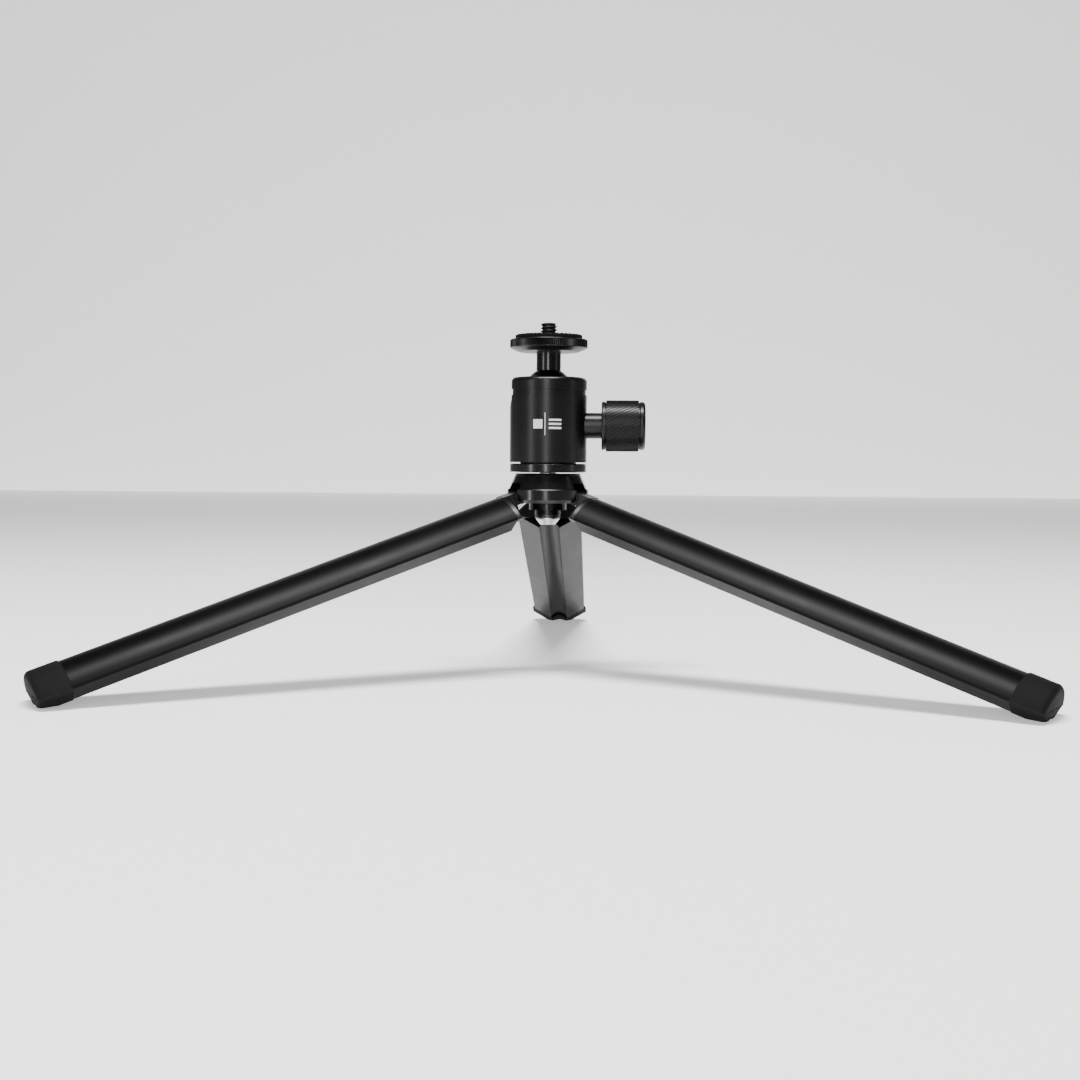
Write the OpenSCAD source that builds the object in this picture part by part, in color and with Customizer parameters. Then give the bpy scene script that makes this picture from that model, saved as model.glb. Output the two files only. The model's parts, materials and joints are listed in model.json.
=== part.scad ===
// Mini tabletop tripod with a ball head.
// The origin is the centre of the camera screw at the level of the rubber pad, and +Z is up.
// The knob points along +X and the drop notch along -X. The legs point to +Y, and to the two
// sides in front, 120 degrees apart. Lengths are millimetres, angles are degrees.

/* [Camera platform] */
// Radius of the 1/4 inch camera screw over its threads
screw_r = 3.175; // [2.5:0.005:4]
// How far the camera screw stands out of the pad
screw_rise = 4.4; // [2:0.1:6]
// Radius of the rubber pad
pad_r = 12.7; // [8:0.1:14]
// Thickness of the rubber pad
pad_t = 1.7; // [0.8:0.1:2.5]
// Radius of the knurled platform disc
disc_r = 14.75; // [12:0.05:22]
// Thickness of the platform disc
disc_t = 4.7; // [4:0.1:8]
// Radius of the flat underside of the platform disc
disc_foot_r = 11.6; // [8:0.1:12]
// Chamfer around the top of the platform disc
disc_chamfer = 0.9; // [0.4:0.1:1.3]
// Height of the knurled side of the platform disc
disc_side_h = 2.2; // [1:0.1:2.5]

/* [Ball] */
// Radius of the ball
ball_r = 9.3; // [8:0.1:10.5]
// Radius of the stem
stem_r = 4.65; // [3.8:0.05:5.2]
// Gap left between the platform and the side of the head body when the stem lies in the notch
tilt_gap = 0.5; // [0.3:0.1:3]

/* [Head body] */
// Outer radius of the head body
body_r = 14.65; // [13.6:0.05:18]
// Height of the head body
body_h = 32.1; // [31:0.1:42]
// Height of the body's top above the centre of the ball
body_lip_h = 5.35; // [4.8:0.05:5.8]
// Height of the retaining lip above the centre of the ball
lip_h = 4.0; // [3:0.1:4.4]
// Rounding of the body's top edge
body_round = 1.7; // [0.8:0.1:2.2]
// Distance from the body's top to its decorative groove
groove_drop = 4.6; // [3:0.1:6]
// Height of the decorative groove
groove_h = 2.1; // [1:0.1:3]
// Depth of the decorative groove
groove_depth = 0.4; // [0.2:0.05:0.8]
// Distance from the centre of the ball down to the axis of the knob
knob_drop = 12.75; // [12.7:0.05:16]

/* [Knob and clamp] */
// Radius of the clamp screw's thread
clamp_r = 3.0; // [2.5:0.1:3.4]
// Radius of the smooth neck of the clamp screw
neck_r = 4.9; // [4:0.1:5.5]
// Gap between the head body and the knob
knob_gap = 5.6; // [3:0.1:9]
// Radius of the knob's inner flange
flange_r = 9.2; // [7:0.1:11]
// Thickness of the knob's inner flange
flange_t = 1.7; // [1:0.1:3]
// Radius of the knob's knurled drum
drum_r = 9.8; // [7.5:0.1:12]
// Length of the knob's knurled drum
drum_l = 12.4; // [8:0.1:18]
// Radius of the knob's outer rim
rim_r = 9.15; // [7:0.05:11]
// Length of the knob's outer rim
rim_l = 2.5; // [1.5:0.1:4]
// Radius of the brake plunger
plunger_r = 3.5; // [3.2:0.1:3.9]
// Slope of the wedge between the plunger and the ball cup
wedge_angle = 8; // [4:0.5:10]

/* [Pan base] */
// Radius of the base plate
base_r = 14.6; // [12.5:0.05:18]
// Thickness of the base plate
base_t = 3.3; // [2:0.1:5]
// Radius of the base plate's neck
base_neck_r = 7.95; // [7.5:0.05:8.3]
// Radius of the thrust washer
thrust_r = 10.7; // [9.5:0.1:12]
// Thickness of the thrust washer
thrust_t = 0.5; // [0.4:0.05:1.2]
// Height of the end bushing
bushing_h = 5.0; // [4:0.1:6]

/* [Hub] */
// Radius of the hub at its widest
hub_r = 15.5; // [14:0.1:19]
// Radius of the hub's top face
hub_top_r = 12.3; // [9:0.1:13]
// Height of the hub's conical top
hub_cone_h = 5.85; // [4:0.05:7]
// Height of the hub's straight band
hub_band_h = 5.2; // [4.6:0.1:7]
// How far the band stands out past the foot of the cone
hub_step = 0.35; // [0.2:0.05:0.6]
// Chamfer around the underside of the hub
hub_chamfer = 1.2; // [0.4:0.1:1.8]
// Gap between the base plate and the hub, where the bolt shows
stud_gap = 0.45; // [0.3:0.05:2]
// Radius of the boss under the hub
boss_r = 7.1; // [6:0.1:7.4]
// Height of the boss under the hub
boss_h = 2.8; // [2:0.1:3.2]
// Radius of the bolt's button head
bolt_head_r = 4.55; // [4:0.05:4.6]
// Height of the bolt's button head
bolt_head_h = 2.6; // [2:0.1:3]

/* [Leg hinge] */
// Radius of a hinge pin
pin_r = 1.2; // [0.8:0.05:1.4]
// Wall of the hub outside a hinge pin
pin_wall = 1.3; // [1.1:0.1:2]
// Width of a knuckle's tongue
tongue_w = 6.4; // [5:0.1:7.5]
// Thickness of a hinge washer
hinge_washer_t = 0.5; // [0.3:0.05:0.8]
// Distance along the leg from the hinge pin to the end of the tube
knuckle_reach = 8.1; // [8.1:0.1:10]
// Thickness of the knuckle's head against the end of the tube
band_l = 2.3; // [1.5:0.1:3]
// Rounding of the knuckle's head over the leg's round back
band_round = 0.9; // [0.3:0.1:1.4]
// Length of the knuckle's plug inside the tube
plug_l = 14; // [8:0.5:30]

/* [Legs] */
// Slope of a spread leg below the horizontal
leg_slope = 18.2; // [14:0.1:24]
// Radius of the leg's round back
leg_r = 15.0; // [14.5:0.1:18]
// Radius of the channel along the leg's inner edge
channel_r = 4.6; // [3.6:0.1:5.5]
// Wall of the leg tube
tube_wall = 1.4; // [1:0.1:2]
// Length of the leg from the end of the tube to the toe
leg_l = 179.7; // [120:0.1:260]
// Width of the bevel along the leg's outer corners
corner_bevel = 0.8; // [0.3:0.1:1.2]
// Length of a rubber foot beyond the end of the tube
foot_l = 11.5; // [9:0.5:20]
// Length of a foot's plug inside the tube
foot_plug_l = 12; // [6:0.5:30]
// How far the foot stands out of the round back
foot_back_t = 0.5; // [0.3:0.05:0.9]
// How far the foot stands out into the channel
foot_channel_t = 0.9; // [0.3:0.05:1.2]
// Rounding of a foot's toe
toe_round = 2.0; // [0.5:0.1:3]
// Length of the flat that a foot stands on
foot_stand_l = 6.5; // [4:0.1:9]

/* [Hidden] */
$fn = 96;

// Clearances: a turning or sliding fit, a loose hole, a gap between moving pieces, a swing gap
fit = 0.04;
loose = 0.12;
gap = 0.3;
cut = 1;

// Colours
black_anodised = "#1c1c1e";
black_rubber = "#232325";
black_body = "#242426";
bright_steel = "#c4c6c8";
dark_steel = "#3a3a3d";
acetal = "#2a2a2b";

// Levels, from the pad down
disc_z = -pad_t - disc_t;
ball_z = disc_z - body_r - tilt_gap;
body_top_z = ball_z + body_lip_h;
body_z = body_top_z - body_h;
base_top_z = body_z - thrust_t;
base_z = base_top_z - base_t;
hub_top_z = base_z - stud_gap;
band_top_z = hub_top_z - hub_cone_h;
hub_z = band_top_z - hub_band_h;
boss_z = hub_z - boss_h;

// Ball seat, drop notch and clamp
seat_r = ball_r + fit;
lip_r = sqrt(seat_r * seat_r - lip_h * lip_h);
lip_slope = 0.86;
lip_top_r = lip_r + (body_lip_h - lip_h) * lip_slope;
notch_r = stem_r + gap;
notch_z = ball_z - 1.05;
bore_r = ball_r + gap;
cup_r = bore_r - 0.1;
cup_top_z = ball_z - notch_r - gap;
knob_z = ball_z - knob_drop;
plunger_flat_h = 2.5;
wedge_z = knob_z + plunger_flat_h;
cup_z = knob_z - 2;
plunger_x = -7;
tip_x = 6.2;
neck_x = body_r - 2.4;
flange_x = body_r + knob_gap;
drum_x = flange_x + flange_t;
rim_x = drum_x + drum_l;
knob_end_x = rim_x + rim_l;

// Pan base
bushing_r = bore_r + 1.4;
bushing_top_z = body_z + bushing_h;
base_neck_z = knob_z - plunger_r - 0.1;
ring_t = 0.8;
ring_z = bushing_top_z + 0.15;
ring_in_r = base_neck_r - 0.75;
ring_out_r = bore_r - gap;
ring_gap_angle = 40;

// Bolt
bolt_r = screw_r;
washer_t = 1.2;
small_boss_r = bolt_head_r + 0.4;
small_boss_h = 1.8;
bolt_seat_z = boss_z - small_boss_h - washer_t;
bolt_tip_z = base_neck_z - 4.5;
bolt_socket_r = 2.1;
bolt_socket_h = 1.6;

// Leg hinge
pin_dist = hub_r - pin_wall - pin_r;
pin_z = hub_z + hub_band_h * 0.39;
slot_w = tongue_w + 2 * hinge_washer_t + 2 * 0.1;
tongue_r = pin_r + 1.1;
slot_top_z = pin_z + tongue_r + 3.1;
tongue_drop = 4.4;
slot_in_r = pin_dist - tongue_drop - gap;
pin_open_l = sqrt(hub_r * hub_r - pow(pin_dist + pin_r, 2)) - 0.2;
pin_blind_l = sqrt(pow(hub_r - 0.5, 2) - pow(pin_dist + pin_r, 2));
hinge_washer_r = tongue_r + 0.1;

// Legs: the tip of the sector lies this far from the axis when the leg hangs straight down
fold_gap = 0.2;
tip_drop = pin_dist - fold_gap;
plug_cut_h = small_boss_r + 1.0;
sector_angle = 60;
tube_l = leg_l - foot_l;

// Height above the sector's tip of the foot's lower edges, and the ground below a spread foot
foot_channel_r = channel_r - foot_channel_t;
foot_edge_h = foot_channel_r * cos(sector_angle);
ground_s = knuckle_reach + leg_l - foot_stand_l;
ground_z = pin_z - ground_s * sin(leg_slope) - (tip_drop - foot_edge_h) * cos(leg_slope);

function leg_turn(i) = [90, 210, 330][i - 1];

// The side of a leg on which its pin goes in: the bore is blind on the other
function pin_side(i) = [1, -1, 1][i - 1];

// A ring or disc around the axis between two levels
module disc(r, low, high) {
    translate([0, 0, low]) cylinder(r = r, h = high - low);
}

// A round bar along +X between two places
module bar_x(r, from, to) {
    translate([from, 0, knob_z]) rotate([0, 90, 0]) cylinder(r = r, h = to - from);
}

// A cone along +X between two places
module cone_x(r_from, r_to, from, to) {
    translate([from, 0, knob_z]) rotate([0, 90, 0]) cylinder(r1 = r_from, r2 = r_to, h = to - from);
}

module camera_screw() {
    shank_r = screw_r * 0.82;
    tip_h = 0.5;
    color(dark_steel) {
        disc(shank_r, -pad_t - 1.9, 0);
        disc(screw_r, 0, screw_rise - tip_h);
        translate([0, 0, screw_rise - tip_h]) cylinder(r1 = screw_r, r2 = screw_r - tip_h, h = tip_h);
    }
}

module platform_pad() {
    color(black_rubber) difference() {
        disc(pad_r, -pad_t, 0);
        disc(screw_r + gap, -pad_t - cut, cut);
    }
}

module platform_disc() {
    top_z = -pad_t;
    side_top_z = top_z - disc_chamfer;
    side_low_z = side_top_z - disc_side_h;
    color(black_anodised) difference() {
        rotate_extrude() polygon([
            [0, disc_z], [disc_foot_r, disc_z], [disc_r, side_low_z],
            [disc_r, side_top_z], [disc_r - disc_chamfer, top_z], [0, top_z]
        ]);
        disc(screw_r * 0.82 + fit, top_z - 2.1, cut);
        disc(stem_r - 1.4 + fit, disc_z - cut, disc_z + 2);
    }
}

// The stem ends in a hollow that sits on the ball
module stem() {
    color(black_anodised) difference() {
        union() {
            disc(stem_r, ball_z + ball_r / 2, disc_z - fit);
            disc(stem_r - 1.4, disc_z - 1, disc_z + 1.9);
        }
        translate([0, 0, ball_z]) sphere(r = ball_r + 0.02);
    }
}

module ball() {
    color(black_anodised) translate([0, 0, ball_z]) sphere(r = ball_r);
}

// Half profile of the head body: the ball's seat is open to the bore below it and to the lip above
module body_profile() {
    difference() {
        translate([0, body_z]) square([body_r, body_h]);
        translate([body_r - body_round, body_top_z - body_round]) difference() {
            square(body_round + cut);
            circle(r = body_round);
        }
        translate([body_r - groove_depth, body_top_z - groove_drop - groove_h]) square([cut, groove_h]);
        translate([0, ball_z]) circle(r = seat_r);
        translate([0, ball_z]) polygon([
            [0, lip_h - 0.5], [lip_r - 0.5 * lip_slope, lip_h - 0.5],
            [lip_top_r, body_lip_h], [lip_top_r, body_lip_h + cut], [0, body_lip_h + cut]
        ]);
        translate([0, body_z - cut]) square([bore_r, ball_z - body_z + cut]);
        translate([0, body_z - cut]) square([bushing_r, bushing_h + cut]);
    }
}

// The slot that the stem drops into, open at the top and towards -X
module drop_notch() {
    translate([0, 0, notch_z]) rotate([90, 0, -90]) linear_extrude(body_r + cut) {
        circle(r = notch_r);
        translate([-notch_r, 0]) square([2 * notch_r, body_h]);
    }
}

module head_body() {
    color(black_body) difference() {
        rotate_extrude() body_profile();
        drop_notch();
        bar_x(clamp_r + fit, 0, body_r + cut);
        bar_x(neck_r + loose, neck_x, body_r + cut);
    }
}

// Acetal cup under the ball. A sloping channel along X rides on the brake plunger.
module ball_cup() {
    channel_w = 2 * (plunger_r + 0.1);
    color(acetal) difference() {
        disc(cup_r, cup_z, cup_top_z);
        translate([0, 0, ball_z]) sphere(r = seat_r);
        translate([0, 0, wedge_z + fit]) rotate([0, -wedge_angle, 0])
            translate([-body_r, -channel_w / 2, -body_r]) cube([2 * body_r, channel_w, body_r]);
        translate([-body_r, -channel_w / 2, cup_z - cut]) cube([2 * body_r, channel_w, plunger_flat_h]);
    }
}

module brake_plunger() {
    color(bright_steel) difference() {
        bar_x(plunger_r, plunger_x, tip_x - fit);
        translate([0, 0, wedge_z]) rotate([0, -wedge_angle, 0])
            translate([-body_r, -body_r, 0]) cube([2 * body_r, 2 * body_r, body_r]);
    }
}

// The screw's tip pushes the plunger, and its smooth neck carries the knob
module clamp_screw() {
    color(dark_steel) {
        bar_x(clamp_r, tip_x, neck_x + gap);
        bar_x(neck_r, neck_x + gap, flange_x);
        bar_x(clamp_r, flange_x, rim_x);
    }
}

module knob() {
    edge = 0.6;
    color(black_anodised) difference() {
        union() {
            bar_x(flange_r, flange_x, drum_x);
            bar_x(drum_r, drum_x, rim_x);
            bar_x(rim_r, rim_x, knob_end_x - edge);
            cone_x(rim_r, rim_r - edge, knob_end_x - edge, knob_end_x);
        }
        bar_x(clamp_r + 0.01, flange_x - cut, rim_x + 0.1);
    }
}

// Threaded ring that closes the bottom of the head body and carries the pan bearing
module end_bushing() {
    color(bright_steel) difference() {
        disc(bushing_r - 0.02, body_z, bushing_top_z - fit);
        disc(base_neck_r + fit, body_z - cut, bushing_top_z + cut);
    }
}

module pan_washer() {
    color(acetal) difference() {
        disc(thrust_r, base_top_z + 0.02, body_z - 0.02);
        disc(base_neck_r + fit, base_top_z - cut, body_z + cut);
    }
}

// Open spring ring in the groove of the base plate's neck
module retaining_ring() {
    color(bright_steel) translate([0, 0, ring_z]) rotate([0, 0, ring_gap_angle / 2])
        rotate_extrude(angle = 360 - ring_gap_angle)
            translate([ring_in_r, 0]) square([ring_out_r - ring_in_r, ring_t]);
}

module base_plate() {
    edge = 0.3;
    color(black_anodised) difference() {
        rotate_extrude() polygon([
            [0, base_z], [base_r - edge, base_z], [base_r, base_z + edge],
            [base_r, base_top_z - edge], [base_r - edge, base_top_z],
            [base_neck_r, base_top_z], [base_neck_r, ring_z - 0.05], [ring_in_r - 0.05, ring_z - 0.05],
            [ring_in_r - 0.05, ring_z + ring_t + 0.05], [base_neck_r, ring_z + ring_t + 0.05],
            [base_neck_r, base_neck_z], [0, base_neck_z]
        ]);
        disc(bolt_r + fit, base_z - cut, bolt_tip_z + 0.5);
    }
}

// Hub with a conical top, three slots for the knuckles and the bores for the hinge pins
module hub() {
    color(black_anodised) difference() {
        rotate_extrude() polygon([
            [0, boss_z - small_boss_h], [small_boss_r, boss_z - small_boss_h], [small_boss_r, boss_z],
            [boss_r, boss_z], [boss_r, hub_z], [hub_r - hub_chamfer, hub_z], [hub_r, hub_z + hub_chamfer],
            [hub_r, band_top_z - hub_step], [hub_r - hub_step, band_top_z],
            [hub_r - 2 * hub_step, band_top_z], [hub_top_r, hub_top_z], [0, hub_top_z]
        ]);
        disc(bolt_r + loose, bolt_seat_z, hub_top_z + cut);
        for (i = [1:3]) rotate([0, 0, leg_turn(i)]) {
            translate([slot_in_r, -slot_w / 2, hub_z - cut]) cube([hub_r, slot_w, slot_top_z - hub_z + cut]);
            pin_span(i, pin_r + 0.01, hub_r);
        }
    }
}

// A bar on the hinge axis of the leg that points along +X
module pin_bar(r, half_l) {
    translate([pin_dist, half_l, pin_z]) rotate([90, 0, 0]) cylinder(r = r, h = 2 * half_l);
}

// The same from the blind end of the pin's bore to a place towards its open end
module pin_span(i, r, open_l) {
    half_l = (open_l + pin_blind_l) / 2;
    translate([0, pin_side(i) * (open_l - pin_blind_l) / 2, 0]) pin_bar(r, half_l);
}

// Button-head bolt from under the hub, through it and into the base plate
module center_bolt() {
    edge_h = 0.5;
    color(bright_steel) difference() {
        union() {
            disc(bolt_r, bolt_seat_z, bolt_tip_z);
            translate([0, 0, bolt_seat_z - edge_h]) cylinder(r = bolt_head_r, h = edge_h);
            translate([0, 0, bolt_seat_z - bolt_head_h])
                cylinder(r1 = bolt_head_r * 0.62, r2 = bolt_head_r, h = bolt_head_h - edge_h);
        }
        translate([0, 0, bolt_seat_z - bolt_head_h - cut])
            cylinder(r = bolt_socket_r, h = bolt_socket_h + cut, $fn = 6);
    }
}

module spring_washer() {
    split_w = 0.6;
    color(bright_steel) difference() {
        disc(small_boss_r - 0.1, bolt_seat_z, bolt_seat_z + washer_t);
        disc(bolt_r + loose, bolt_seat_z - cut, bolt_seat_z + washer_t + cut);
        translate([0, 0, bolt_seat_z - cut]) cube([small_boss_r + cut, split_w, washer_t + 2 * cut]);
    }
}

module hinge_pins() {
    color(bright_steel) for (i = [1:3]) rotate([0, 0, leg_turn(i)]) pin_span(i, pin_r, pin_open_l);
}

// An acetal washer on each side of each tongue
module hinge_washers() {
    middle = tongue_w / 2 + 0.05 + hinge_washer_t / 2;
    color(acetal) for (i = [1:3], side = [-1, 1]) rotate([0, 0, leg_turn(i)])
        translate([0, side * middle, 0]) difference() {
            pin_bar(hinge_washer_r, hinge_washer_t / 2);
            pin_bar(pin_r + fit, hinge_washer_t);
        }
}

// Places a shape in the frame of a spread leg: X across the leg, Y up from the sector's tip,
// and Z along the leg from the hinge pin
module in_leg(i) {
    rotate([0, 0, leg_turn(i)]) translate([pin_dist, 0, pin_z]) rotate([0, leg_slope, 0])
        rotate([90, 0, 90]) translate([0, -tip_drop, 0]) children();
}

// Wedge of 120 degrees above a tip at the given height
module wedge(tip_h) {
    reach = 2 * leg_r;
    translate([0, tip_h]) polygon([
        [0, 0], [reach * sin(sector_angle), reach * cos(sector_angle)],
        [0, 2 * reach], [-reach * sin(sector_angle), reach * cos(sector_angle)]
    ]);
}

// Sector section of a leg: back radius, tip height, channel radius and corner bevel
module leg_section(back_r, tip_h, inner_r, bevel) {
    side = 2 * leg_r;
    // Direction of the bevel's normal, halfway between the back's and the flat's
    normal = sector_angle + 45;
    corner_angle = sector_angle - asin(tip_h * sin(sector_angle) / back_r);
    reach = back_r * cos(normal - corner_angle) - bevel / sqrt(2);
    difference() {
        intersection() {
            circle(r = back_r);
            wedge(tip_h);
        }
        circle(r = inner_r);
        for (s = [-1, 1]) rotate(-s * normal) translate([-side / 2, reach]) square(side);
    }
}

module tube_outside() {
    leg_section(leg_r, 0, channel_r, corner_bevel);
}

module tube_inside(clear) {
    wall = tube_wall + clear;
    leg_section(leg_r - wall, wall / sin(sector_angle), channel_r + wall, corner_bevel / 2);
}

module foot_outside() {
    leg_section(leg_r + foot_back_t, 0, foot_channel_r, corner_bevel);
}

// Round bar about the sector's tip, whose near or far end is rounded over
module rounded_end(r, h, round_r, near) {
    rotate_extrude() difference() {
        square([r, h]);
        translate([r - round_r, near ? round_r : h - round_r]) scale([1, near ? -1 : 1]) difference() {
            square(round_r + cut);
            circle(r = round_r);
        }
    }
}

// Half of the knuckle's section, above the room that the folded leg leaves for the bolt
module above_bolt() {
    difference() {
        children();
        translate([-leg_r, 0]) square([2 * leg_r, plug_cut_h]);
    }
}

// Plug that closes the hub end of a leg. Its nose meets the end of the hub's slot and stops the leg.
module leg_knuckle(i) {
    color(black_anodised) difference() {
        union() {
            in_leg(i) translate([0, 0, knuckle_reach - band_l]) intersection() {
                linear_extrude(band_l) above_bolt() tube_outside();
                rounded_end(leg_r, band_l, band_round, true);
            }
            in_leg(i) translate([0, 0, knuckle_reach - cut]) linear_extrude(plug_l + cut)
                above_bolt() tube_inside(fit);
            in_leg(i) translate([-tongue_w / 2, tip_drop, 0]) {
                rotate([0, 90, 0]) cylinder(r = tongue_r, h = tongue_w);
                translate([0, -tongue_drop, tongue_r])
                    cube([tongue_w, tongue_drop + tongue_r, knuckle_reach - tongue_r - cut]);
                translate([0, -tongue_r, 0]) cube([tongue_w, 2 * tongue_r, knuckle_reach - cut]);
            }
            rotate([0, 0, leg_turn(i)]) translate([slot_in_r + 0.02, -tongue_w / 2, pin_z])
                cube([pin_dist - slot_in_r, tongue_w, tongue_r]);
        }
        rotate([0, 0, leg_turn(i)]) pin_bar(pin_r + fit, tongue_w);
    }
}

module leg_tube(i) {
    color(black_anodised) in_leg(i) translate([0, 0, knuckle_reach]) linear_extrude(tube_l) difference() {
        tube_outside();
        tube_inside(0);
    }
}

// Rubber foot that plugs the end of the tube, cut level where it stands
module leg_foot(i) {
    foot_s = knuckle_reach + tube_l;
    color(black_rubber) difference() {
        in_leg(i) translate([0, 0, foot_s]) {
            intersection() {
                linear_extrude(foot_l) foot_outside();
                rounded_end(leg_r + foot_back_t, foot_l, toe_round, false);
            }
            translate([0, 0, -foot_plug_l]) linear_extrude(foot_plug_l + cut) tube_inside(fit);
        }
        translate([-2 * leg_l, -2 * leg_l, ground_z - leg_r]) cube([4 * leg_l, 4 * leg_l, leg_r]);
    }
}

camera_screw();
platform_pad();
platform_disc();
stem();
ball();
head_body();
ball_cup();
brake_plunger();
clamp_screw();
knob();
end_bushing();
pan_washer();
retaining_ring();
base_plate();
hub();
center_bolt();
spring_washer();
hinge_pins();
hinge_washers();
leg_knuckle(1);  // leg_knuckle_1
leg_knuckle(2);  // leg_knuckle_2
leg_knuckle(3);  // leg_knuckle_3
leg_tube(1);  // leg_tube_1
leg_tube(2);  // leg_tube_2
leg_tube(3);  // leg_tube_3
leg_foot(1);  // leg_foot_1
leg_foot(2);  // leg_foot_2
leg_foot(3);  // leg_foot_3
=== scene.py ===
import json
import math

import bmesh
import bpy
from mathutils import Matrix, Vector


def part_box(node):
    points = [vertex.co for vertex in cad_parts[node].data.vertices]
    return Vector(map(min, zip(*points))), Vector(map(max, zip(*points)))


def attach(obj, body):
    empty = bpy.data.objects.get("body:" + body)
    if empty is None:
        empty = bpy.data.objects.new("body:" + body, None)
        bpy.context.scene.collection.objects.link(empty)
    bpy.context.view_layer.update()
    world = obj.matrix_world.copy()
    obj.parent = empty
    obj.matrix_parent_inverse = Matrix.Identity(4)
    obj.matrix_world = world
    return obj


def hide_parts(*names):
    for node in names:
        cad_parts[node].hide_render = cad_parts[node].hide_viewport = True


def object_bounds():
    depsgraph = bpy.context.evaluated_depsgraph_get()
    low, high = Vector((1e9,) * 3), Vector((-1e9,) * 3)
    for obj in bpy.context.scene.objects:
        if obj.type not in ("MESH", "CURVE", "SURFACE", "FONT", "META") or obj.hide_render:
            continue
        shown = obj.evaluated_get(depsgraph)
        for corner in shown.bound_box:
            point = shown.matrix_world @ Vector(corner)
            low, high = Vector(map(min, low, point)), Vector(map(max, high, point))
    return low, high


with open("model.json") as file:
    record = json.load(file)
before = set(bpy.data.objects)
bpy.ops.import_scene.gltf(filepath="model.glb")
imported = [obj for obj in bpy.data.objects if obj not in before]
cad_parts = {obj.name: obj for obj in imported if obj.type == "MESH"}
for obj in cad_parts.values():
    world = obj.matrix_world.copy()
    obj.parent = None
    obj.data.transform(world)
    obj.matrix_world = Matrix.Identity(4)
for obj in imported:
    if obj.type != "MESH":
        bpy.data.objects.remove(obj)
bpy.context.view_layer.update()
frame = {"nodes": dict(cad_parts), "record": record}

MM = 0.001


record = frame["record"]
JOINT = {j["name"]: j for j in record["behaviour"]["joints"]}


# ---------------------------------------------------------------- materials
def hex_rgb(code):
    """sRGB hex to the linear colour that the shaders take."""
    out = []
    for i in (1, 3, 5):
        c = int(code[i:i + 2], 16) / 255
        out.append(c / 12.92 if c <= 0.04045 else ((c + 0.055) / 1.055) ** 2.4)
    return (*out, 1.0)


def node(tree, kind, settings=None, links=None):
    """Adds a node, sets its sockets and properties, and links its inputs."""
    n = tree.nodes.new(kind)
    for key, value in (settings or {}).items():
        if hasattr(n, key) and not (key in n.inputs):
            setattr(n, key, value)
        else:
            n.inputs[key].default_value = value
    for key, source in (links or {}).items():
        tree.links.new(source, n.inputs[key])
    return n


def ramp(tree, source, stops):
    """A colour ramp with grey or coloured stops on a value."""
    r = node(tree, "ShaderNodeValToRGB", {}, {"Fac": source})
    e = r.color_ramp.elements
    while len(e) < len(stops):
        e.new(0.5)
    for i, (at, colour) in enumerate(stops):
        e[i].position = at
        e[i].color = colour if len(colour) == 4 else (*colour, 1.0)
    return r.outputs["Color"]


def surface(name, low, high, rough, metallic=0.0, grain=0.12, bump=0.0, coat=0.0, spec=0.5):
    """A finish: a colour that drifts between two close tones, a roughness range and a fine grain in mm."""
    m = bpy.data.materials.new(name)
    m.use_nodes = True
    t = m.node_tree
    t.nodes.clear()
    here = node(t, "ShaderNodeTexCoord").outputs["Object"]
    broad = node(
        t, "ShaderNodeTexNoise", {"Scale": 60.0, "Detail": 4.0, "Roughness": 0.6}, {"Vector": here}).outputs["Fac"]
    fine = node(
        t, "ShaderNodeTexNoise", {"Scale": 1000.0 / grain, "Detail": 2.0, "Roughness": 0.5},
        {"Vector": here}).outputs["Fac"]
    colour = ramp(t, broad, [(0.35, hex_rgb(low)), (0.65, hex_rgb(high))])
    both = node(t, "ShaderNodeMath", {"operation": "ADD", "use_clamp": True}, {0: broad, 1: fine}).outputs[0]
    gloss = node(
        t, "ShaderNodeMapRange", {"From Min": 0.7, "From Max": 1.0, "To Min": rough[0], "To Max": rough[1]},
        {"Value": both}).outputs[0]
    shader = node(
        t, "ShaderNodeBsdfPrincipled", {"Metallic": metallic, "Coat Weight": coat, "Coat Roughness": 0.12},
        {"Base Color": colour, "Roughness": gloss})
    if metallic < 0.5:
        shader.inputs["Specular IOR Level"].default_value = spec
    if bump:
        b = node(t, "ShaderNodeBump", {"Strength": 1.0, "Distance": bump * MM}, {"Height": fine})
        t.links.new(b.outputs["Normal"], shader.inputs["Normal"])
    out = node(t, "ShaderNodeOutputMaterial")
    t.links.new(shader.outputs["BSDF"], out.inputs["Surface"])
    return m


# Dyed, bead-blasted and anodised aluminium: a soft grey sheen over near black
BLASTED = surface(
    "blasted_black_anodised_aluminium", "#060607", "#080809", (0.26, 0.34), 0.0, 0.10, 0.003, 0.0, spec=0.28)
# The same anodising over a turned face: tighter, brighter highlights
TURNED = surface(
    "turned_black_anodised_aluminium", "#050506", "#070708", (0.18, 0.25), 0.0, 0.10, 0.001, 0.1, spec=0.40)
# Extruded leg profile, anodised: a satin band of light along the round back
EXTRUDED = surface(
    "extruded_black_anodised_aluminium", "#030304", "#050506", (0.34, 0.40), 0.0, 0.14, 0.002, 0.0, spec=0.07)
# Moulded rubber: dry and matte with a slight bloom
RUBBER = surface(
    "matte_black_rubber", "#070708", "#0a0a0b", (0.66, 0.80), 0.0, 0.22, 0.006, 0.0, spec=0.14)
# Black plated steel: dark but still a mirror at its edges
DARK_STEEL = surface("black_plated_steel", "#3c3d40", "#434447", (0.26, 0.34), 1.0, 0.10, 0.001)
# Bare turned steel: bright with a cool cast
BRIGHT_STEEL = surface("bright_turned_steel", "#c3c5c8", "#cfd1d3", (0.20, 0.30), 1.0, 0.10, 0.001)
# Moulded acetal: dense black with a waxy sheen
ACETAL = surface("black_acetal", "#111112", "#151516", (0.45, 0.55), 0.0, 0.25, 0.002)
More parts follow.
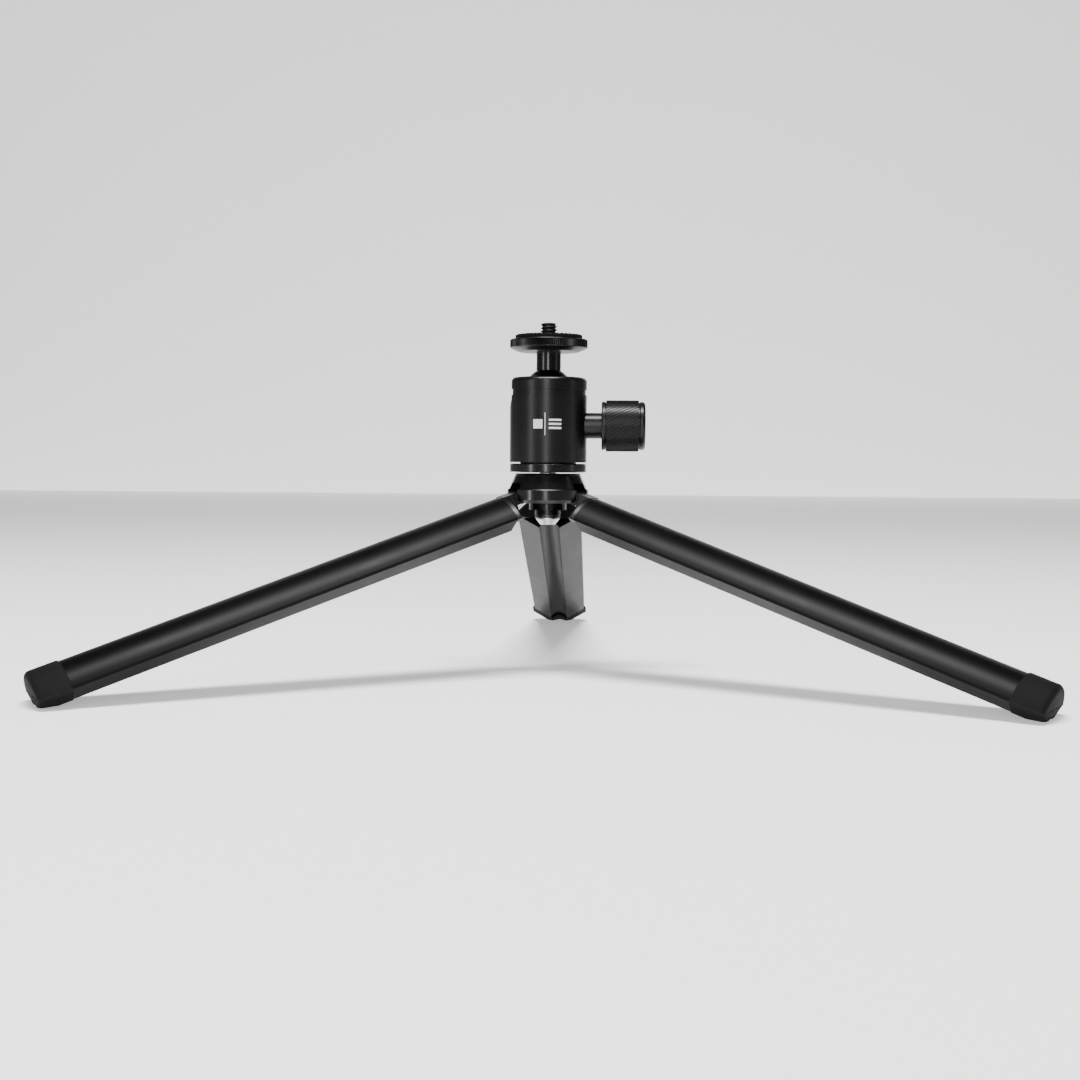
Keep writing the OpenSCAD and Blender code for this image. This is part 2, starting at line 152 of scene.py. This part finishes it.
# White silk-screen ink: flat and opaque
INK = surface("white_printed_ink", "#c9c9c9", "#d2d2d2", (0.55, 0.65), 0.0, 0.12, 0.0)

FINISH = {
    "camera_screw": DARK_STEEL, "platform_pad": RUBBER, "platform_disc": BLASTED, "stem": TURNED, "ball": TURNED,
    "head_body": BLASTED, "ball_cup": ACETAL, "brake_plunger": BRIGHT_STEEL, "clamp_screw": BLASTED, "knob": BLASTED,
    "end_bushing": DARK_STEEL, "pan_washer": ACETAL, "retaining_ring": BRIGHT_STEEL, "base_plate": TURNED,
    "hub": TURNED, "center_bolt": BRIGHT_STEEL, "spring_washer": DARK_STEEL, "hinge_pins": DARK_STEEL,
    "hinge_washers": ACETAL,
}
for i in (1, 2, 3):
    FINISH[f"leg_knuckle_{i}"] = BLASTED
    FINISH[f"leg_tube_{i}"] = EXTRUDED
    FINISH[f"leg_foot_{i}"] = RUBBER
for name, finish in FINISH.items():
    o = frame["nodes"][name]
    for s in o.material_slots:
        s.material = finish

# ---------------------------------------------------------------- modelling helpers
def clear():
    """Leaves edit mode and deselects everything."""
    if bpy.context.mode != "OBJECT":
        bpy.ops.object.mode_set(mode="OBJECT")
    bpy.ops.object.select_all(action="DESELECT")


def pick(o, test):
    """In edit mode, selects the vertices whose place in mm passes the test."""
    mesh = bmesh.from_edit_mesh(o.data)
    for v in mesh.verts:
        v.select = bool(test(v.co / MM))
    mesh.select_flush(True)
    mesh.select_flush(False)
    bmesh.update_edit_mesh(o.data)
    return any(v.select for v in mesh.verts)


def mm(*v):
    return tuple(c * MM for c in v)


def turned(name, profile, sides, axis="Z", centre=(0, 0), ring=False):
    """A round piece: a ring extruded and scaled through (place along the axis, radius) pairs in mm.
    axis X takes centre as (y, z); axis Z takes it as (x, y). ring closes the profile into a loop."""
    clear()
    along = 0 if axis == "X" else 2

    def spot(a):
        return (a, *centre) if axis == "X" else (*centre, a)

    first, radius = profile[0]
    bpy.ops.mesh.primitive_circle_add(
        vertices=sides, radius=radius * MM, fill_type="NOTHING" if ring else "NGON",
        location=mm(*spot(first)), rotation=(0, math.pi / 2, 0) if axis == "X" else (0, 0, 0))
    o = bpy.context.object
    bpy.ops.object.transform_apply(location=True, rotation=True, scale=True)
    o.name = name
    bpy.ops.object.mode_set(mode="EDIT")
    bpy.ops.mesh.select_mode(type="VERT")
    bpy.ops.mesh.select_all(action="SELECT")
    here = first
    for a, r in profile[1:] + (profile[:1] if ring else []):
        step = [0.0, 0.0, 0.0]
        step[along] = (a - here) * MM
        bpy.ops.mesh.extrude_region_move(TRANSFORM_OT_translate={"value": step})
        k = [r / radius] * 3
        k[along] = 1.0
        bpy.ops.transform.resize(value=k, center_override=mm(*spot(a)))
        here, radius = a, r
    bpy.ops.mesh.select_all(action="SELECT")
    if ring:
        bpy.ops.mesh.remove_doubles(threshold=0.000001)
    bpy.ops.mesh.normals_make_consistent(inside=False)
    return o


def carve(o, spot, axis, depth):
    """Scales each vertex towards the axis by the depth in mm that its place calls for."""
    mesh = bmesh.from_edit_mesh(o.data)
    along = 0 if axis == "X" else 2
    groups = {}
    for v in mesh.verts:
        p = [c / MM - q for c, q in zip(v.co, spot)]
        p[along] += spot[along]
        u, w = (p[1], p[2]) if axis == "X" else (p[0], p[1])
        r = math.hypot(u, w)
        d = depth(p[along], math.atan2(w, u) % math.tau, r)
        if d > 0:
            groups.setdefault(round(1 - d / r, 4), []).append(v.index)
    for k, members in groups.items():
        mesh = bmesh.from_edit_mesh(o.data)
        mesh.verts.ensure_lookup_table()
        for v in mesh.verts:
            v.select = False
        for i in members:
            mesh.verts[i].select = True
        mesh.select_flush(True)
        bmesh.update_edit_mesh(o.data)
        scale = [k] * 3
        scale[along] = 1.0
        bpy.ops.transform.resize(value=scale, center_override=mm(*spot))


def done(o, finish, body, stands_for=(), smooth=30):
    """Leaves edit mode, shades the piece and says which body carries it."""
    clear()
    o.select_set(True)
    bpy.context.view_layer.objects.active = o
    bpy.ops.object.shade_smooth_by_angle(angle=math.radians(smooth))
    o.data.materials.clear()
    o.data.materials.append(finish)
    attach(o, body)
    if stands_for:
        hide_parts(*stands_for)
    return o


def low_high(name):
    """A CAD node's lowest and highest corner in mm."""
    lo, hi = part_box(name)
    return Vector(lo) / MM, Vector(hi) / MM


# ---------------------------------------------------------------- camera screw: a real 1/4 inch thread
THREAD_PITCH = 1.27
THREAD_DEPTH = 0.72
RINGS_PER_PITCH = 16
THREAD_START = -0.3
SHANK_END = -0.5
THREAD_RUN_OUT = 0.55

lo, hi = low_high("camera_screw")
crest, top = hi.x, hi.z
rise = THREAD_PITCH / RINGS_PER_PITCH
levels = [lo.z]
levels += [THREAD_START + k * rise for k in range(int((top - THREAD_START - THREAD_RUN_OUT) / rise) + 1)]
profile = [(z, crest * 0.82 if z < SHANK_END else crest) for z in levels]
o = turned("screw_thread", profile + [(top - 0.28, crest - 0.25), (top, crest - 0.6)], 64)


def thread(z, turn, r):
    """How deep the groove of a 60 degree thread is at a place on the screw."""
    if z < SHANK_END:
        return 0
    phase = (z / THREAD_PITCH - turn / math.tau) % 1.0
    flank = min(1.0, max(0.0, abs(2 * phase - 1) * 1.3 - 0.15))
    return max(0.0, THREAD_DEPTH * flank - (crest - r))


carve(o, (0, 0, 0), "Z", thread)
done(o, DARK_STEEL, "platform", ["camera_screw"], 40)

# ---------------------------------------------------------------- rubber pad with a toothed rim
RIBS = 44
PAD_BORE_R = 3.6

lo, hi = low_high("platform_pad")
rim, low = hi.x, lo.z
o = turned("toothed_pad", [
    (low, PAD_BORE_R), (low, rim - 0.3), (low + 0.3, rim), (-0.55, rim), (-0.1, rim - 0.12), (0, rim - 0.4),
    (0, rim - 1.5), (0, rim - 3.6), (-0.06, rim - 3.7), (-0.06, PAD_BORE_R)], 4 * RIBS, ring=True)


def between_ribs(c):
    """Whether a vertex of the pad's top lies in a valley: each rib and each valley is two sides wide."""
    return c.z > -0.2 and round(math.atan2(c.y, c.x) / math.tau * 4 * RIBS) % 4 > 1


for inner, outer, drop in ((rim - 1.6, rim + 1, 0.6), (rim - 3.65, rim - 3.0, 0.16)):
    pick(o, lambda c: between_ribs(c) and inner < math.hypot(c.x, c.y) < outer)
    bpy.ops.transform.translate(value=(0, 0, -drop * MM))
done(o, RUBBER, "platform", ["platform_pad"], 25)

# ---------------------------------------------------------------- platform disc with a straight-knurled side
DISC_RIDGES = 120
SIDE_LOW, SIDE_TOP = -4.8, -2.25
RIDGE_DEPTH = 0.3

lo, hi = low_high("platform_disc")
edge = hi.x
o = turned("knurled_disc", [
    (lo.z, 11.4), (lo.z + 0.06, 11.65), (SIDE_LOW - 0.25, edge - 0.16), (SIDE_LOW - 0.1, edge), (SIDE_LOW, edge),
    (SIDE_TOP, edge), (SIDE_TOP + 0.1, edge), (-2.0, edge - 0.06), (-1.85, edge - 0.2), (-1.75, edge - 0.42),
    (hi.z, edge - 0.75)], 2 * DISC_RIDGES)


def straight_knurl(z, turn, r):
    """Every other side of the disc's straight edge lies deeper."""
    on_side = SIDE_LOW - 0.02 < z < SIDE_TOP + 0.02 and r > edge - 0.1
    return RIDGE_DEPTH if on_side and round(turn / math.tau * 2 * DISC_RIDGES) % 2 else 0


carve(o, (0, 0, 0), "Z", straight_knurl)
done(o, BLASTED, "platform", ["platform_disc"], 25)

# ---------------------------------------------------------------- clamp knob with a helical knurl
KNOB_RIDGES = 48
KNOB_RINGS = 22
FLANGE_T = 1.7
RIM_T = 2.5
DRUM_EDGE = 0.12
GROOVE_DEPTHS = (0, 0.26, 0.55, 0.26)

lo, hi = low_high("knob")
x0, x1, height = lo.x, hi.x, (lo.z + hi.z) / 2
drum_r = (hi.z - lo.z) / 2
drum0, drum1 = x0 + FLANGE_T, x1 - RIM_T
ring_step = (drum1 - drum0 - 2 * DRUM_EDGE) / KNOB_RINGS
knurl = [(drum0 + DRUM_EDGE + k * ring_step, drum_r) for k in range(KNOB_RINGS + 1)]
flange = [
    (x0, 8.75), (x0 + 0.12, 9.05), (x0 + 0.4, 9.2), (drum0 - 0.45, 9.2), (drum0 - 0.3, 9.05), (drum0 - 0.22, 8.85),
    (drum0 - 0.02, 8.85), (drum0, 9.5)]
outer_rim = [
    (drum1, 9.5), (drum1 + 0.02, 8.8), (drum1 + 0.25, 8.8), (drum1 + 0.35, 9.05), (drum1 + 0.5, 9.15),
    (x1 - 0.9, 9.15), (x1 - 0.5, 9.02), (x1 - 0.2, 8.7), (x1 - 0.03, 8.2), (x1, 7.6), (x1, 6.9),
    (x1 - 0.25, 6.7), (x1 - 0.25, 0.4)]
o = turned("knurled_knob", flange + knurl + outer_rim, 4 * KNOB_RIDGES, "X", (0, height))


def helix(x, turn, r):
    """A groove that moves one side round the drum with each ring along it."""
    if not drum0 + 0.1 < x < drum1 - 0.1 or r < drum_r - 0.1:
        return 0
    ring = (x - drum0 - DRUM_EDGE) / ring_step
    return GROOVE_DEPTHS[round(turn / math.tau * 4 * KNOB_RIDGES + ring) % 4]


carve(o, (0, 0, height), "X", helix)
done(o, BLASTED, "knob", ["knob"], 35)

# ---------------------------------------------------------------- rubber feet
LEG_SLOPE = math.radians(18.2)
FLAT = math.radians(60)
TIP_DROP = 12.8
FOOT_START = 176.3
FOOT_LENGTH = 11.5
FOOT_BACK_R = 15.48
FOOT_CHANNEL_R = 3.72
TOE_ROUND = 2.0
EDGE_ROUND = 0.35


def cut_off(at, out):
    """In edit mode, cuts away what lies beyond a plane, in mm, and closes the cut."""
    bpy.ops.mesh.select_all(action="SELECT")
    bpy.ops.mesh.bisect(plane_co=mm(*at), plane_no=out, use_fill=True, clear_outer=True)


def applied(o, kind, **settings):
    """Adds a modifier to a piece and applies it."""
    modifier = o.modifiers.new(kind.lower(), kind)
    for key, value in settings.items():
        setattr(modifier, key, value)
    bpy.context.view_layer.objects.active = o
    bpy.ops.object.modifier_apply(modifier=modifier.name)


def foot():
    """A section of a round bar between two flats, with a channel along its tip and a rounded toe.
    It lies along +X from the hinge, with the sector's tip on the axis."""
    start, end = FOOT_START, FOOT_START + FOOT_LENGTH
    arc = [math.radians(15 * k) for k in range(7)]
    toe = [(end - TOE_ROUND + TOE_ROUND * math.sin(t), 1 - math.cos(t)) for t in arc]
    collar = [(start, FOOT_BACK_R - 0.35), (start + 0.1, FOOT_BACK_R - 0.12), (start + 0.35, FOOT_BACK_R)]
    o = turned("foot", collar + [(x, FOOT_BACK_R - TOE_ROUND * d) for x, d in toe], 144, "X")
    flats = [Vector((0, side * math.cos(FLAT), -math.sin(FLAT))) for side in (-1, 1)]
    for out in flats:
        cut_off((start, 0, 0), out)
    clear()
    bpy.ops.mesh.primitive_cylinder_add(
        vertices=72, radius=FOOT_CHANNEL_R * MM, depth=3 * FOOT_LENGTH * MM, location=mm(start, 0, 0),
        rotation=(0, math.pi / 2, 0))
    channel = bpy.context.object
    clear()
    o.select_set(True)
    applied(o, "BOOLEAN", object=channel, operation="DIFFERENCE")
    bpy.data.objects.remove(channel)
    bpy.ops.object.mode_set(mode="EDIT")
    for x, d in toe[:-1]:
        bpy.ops.mesh.select_all(action="SELECT")
        bpy.ops.mesh.bisect(plane_co=mm(x, 0, 0), plane_no=(1, 0, 0))
    for x, d in toe[1:]:
        for out in flats:
            on_flat = pick(o, lambda c: abs(c.x - x) < 0.02 and abs(c.dot(out)) < 0.02
                           and math.hypot(c.y, c.z) > FOOT_CHANNEL_R - 0.05)
            if on_flat:
                bpy.ops.transform.translate(value=-out * 1.1 * d * MM)
        if pick(o, lambda c: abs(c.x - x) < 0.02 and math.hypot(c.y, c.z) < FOOT_CHANNEL_R + 0.03):
            wider = 1 + 0.8 * d / FOOT_CHANNEL_R
            bpy.ops.transform.resize(value=(1, wider, wider), center_override=mm(x, 0, 0))
    bpy.ops.object.mode_set(mode="OBJECT")
    applied(o, "BEVEL", width=EDGE_ROUND * MM, segments=3, limit_method="ANGLE", angle_limit=math.radians(40))
    return o


def put(o, i):
    """Moves a piece modelled along +X from the hinge to its leg, and fixes the move in its mesh."""
    pivot = Vector(JOINT[f"leg_fold_{i}"]["pos_m"])
    turn = math.atan2(pivot.y, pivot.x)
    clear()
    o.select_set(True)
    bpy.context.view_layer.objects.active = o
    o.matrix_world = (Matrix.Translation(pivot) @ Matrix.Rotation(turn, 4, "Z")
                      @ Matrix.Rotation(LEG_SLOPE, 4, "Y") @ Matrix.Translation(mm(0, 0, -TIP_DROP)))
    bpy.ops.object.transform_apply(location=True, rotation=True, scale=True)


ground_z = low_high("leg_foot_1")[0].z + 0.01
pattern = foot()
for i in (1, 2, 3):
    o = pattern.copy()
    o.data = pattern.data.copy()
    o.name = f"rubber_foot_{i}"
    bpy.context.scene.collection.objects.link(o)
    put(o, i)
    bpy.ops.object.mode_set(mode="EDIT")
    cut_off((0, 0, ground_z), (0, 0, -1))
    bpy.ops.mesh.select_all(action="SELECT")
    bpy.ops.mesh.remove_doubles(threshold=0.000005)
    bpy.ops.mesh.normals_make_consistent(inside=False)
    done(o, RUBBER, f"leg_{i}", [f"leg_foot_{i}"], 35)
bpy.data.objects.remove(pattern)

# ---------------------------------------------------------------- printed mark on the front of the head: plain shapes
body_r = low_high("head_body")[1].x


def printed(name, x, z, w, h, cuts):
    """A flat patch of ink that lies on the round body."""
    clear()
    bpy.ops.mesh.primitive_grid_add(x_subdivisions=cuts, y_subdivisions=2, size=1.0)
    o = bpy.context.object
    o.name = name
    bpy.ops.object.mode_set(mode="EDIT")
    bpy.ops.mesh.select_all(action="SELECT")
    bpy.ops.transform.resize(value=(w * MM, h * MM, 1))
    bpy.ops.transform.rotate(value=math.pi / 2, orient_axis="X", center_override=(0, 0, 0))
    bpy.ops.transform.translate(value=mm(x, -body_r - 1, z))
    bpy.ops.object.mode_set(mode="OBJECT")
    applied(
        o, "SHRINKWRAP", target=frame["nodes"]["head_body"], wrap_method="PROJECT", use_project_y=True,
        use_positive_direction=True, use_negative_direction=True, offset=0.015 * MM)
    applied(o, "SOLIDIFY", thickness=0.01 * MM)
    return done(o, INK, "head")


mark_z = low_high("knob")[0].z + drum_r + 0.3
printed("mark_rule", -0.75, mark_z, 0.24, 8.4, 1)
printed("mark_block", -3.4, mark_z, 3.4, 3.4, 8)
for k in (-1.5, 0.0, 1.5):
    printed("mark_bar", 3.0, mark_z + k, 4.6, 0.75, 10)

# ---------------------------------------------------------------- camera
LENS, SENSOR = 49.7, 36.0
CAMERA_AT = (19.8, -569.6, -47.55)
CAMERA_DOWN, CAMERA_ROLL, CAMERA_TURN = (math.radians(a) for a in (3.06, -0.4, 2.3))

cam_data = bpy.data.cameras.new("camera")
cam_data.lens = LENS
cam_data.sensor_width = SENSOR
cam_data.clip_start, cam_data.clip_end = 0.01, 20
cam = bpy.data.objects.new("camera", cam_data)
bpy.context.scene.collection.objects.link(cam)
cam.location = Vector(CAMERA_AT) * MM
cam.rotation_euler = (math.pi / 2 - CAMERA_DOWN, CAMERA_ROLL, CAMERA_TURN)
bpy.context.scene.camera = cam

# ---------------------------------------------------------------- floor and light
STAGE_WIDTH = 3.4
FLOOR_FRONT, STAGE_BACK = -0.5, 3.0


def glowing(name, colour, strength, rough=0.5, spec=0.5):
    """A plain pale surface that gives off a little light of its own."""
    m = bpy.data.materials.new(name)
    m.use_nodes = True
    shader = m.node_tree.nodes["Principled BSDF"]
    shader.inputs["Base Color"].default_value = hex_rgb(colour)
    shader.inputs["Roughness"].default_value = rough
    shader.inputs["Specular IOR Level"].default_value = spec
    shader.inputs["Emission Color"].default_value = hex_rgb("#ffffff")
    shader.inputs["Emission Strength"].default_value = strength
    return m


floor_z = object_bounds()[0].z - 0.00002
clear()
bpy.ops.mesh.primitive_plane_add(size=1.0, location=(0, 0, floor_z))
floor = bpy.context.object
floor.name = "floor"
bpy.ops.object.mode_set(mode="EDIT")
bpy.ops.mesh.select_all(action="SELECT")
bpy.ops.transform.resize(
    value=(STAGE_WIDTH, STAGE_BACK - FLOOR_FRONT, 1), center_override=(0, 0, floor_z))
bpy.ops.transform.translate(value=(0, (STAGE_BACK + FLOOR_FRONT) / 2, 0))
bpy.ops.object.mode_set(mode="OBJECT")
floor.data.materials.append(glowing("pale_floor", "#f4f4f4", 0.42, 0.9, 0.1))

bpy.ops.mesh.primitive_plane_add(size=STAGE_WIDTH, location=(0, STAGE_BACK, 0), rotation=(math.pi / 2, 0, 0))
backdrop = bpy.context.object
backdrop.name = "backdrop"
backdrop.data.materials.append(glowing("lit_backdrop", "#ffffff", 0.95))

world = bpy.data.worlds.new("studio")
world.use_nodes = True
world.node_tree.nodes["Background"].inputs["Color"].default_value = hex_rgb("#ffffff")
world.node_tree.nodes["Background"].inputs["Strength"].default_value = 0.12
bpy.context.scene.world = world


def softbox(name, place, aim, width, height, power):
    """A rectangular studio light, aimed at a point."""
    data = bpy.data.lights.new(name, "AREA")
    data.shape = "RECTANGLE"
    data.size, data.size_y = width, height
    data.energy = power
    o = bpy.data.objects.new(name, data)
    bpy.context.scene.collection.objects.link(o)
    o.location = Vector(place)
    o.rotation_euler = (Vector(aim) - Vector(place)).to_track_quat("-Z", "Y").to_euler()
    return o


centre = (0, 0, -0.07)
softbox("over", (0.0, -0.25, 1.2), (0, 0.0, -0.10), 0.75, 0.25, 38)
softbox("strip_front", (-0.08, -1.0, 0.25), centre, 0.09, 0.7, 5)
softbox("side_left", (-0.9, -0.75, 0.15), centre, 0.10, 0.8, 4.0)
softbox("side_right", (1.0, -0.2, 0.2), centre, 0.12, 0.8, 0.6)
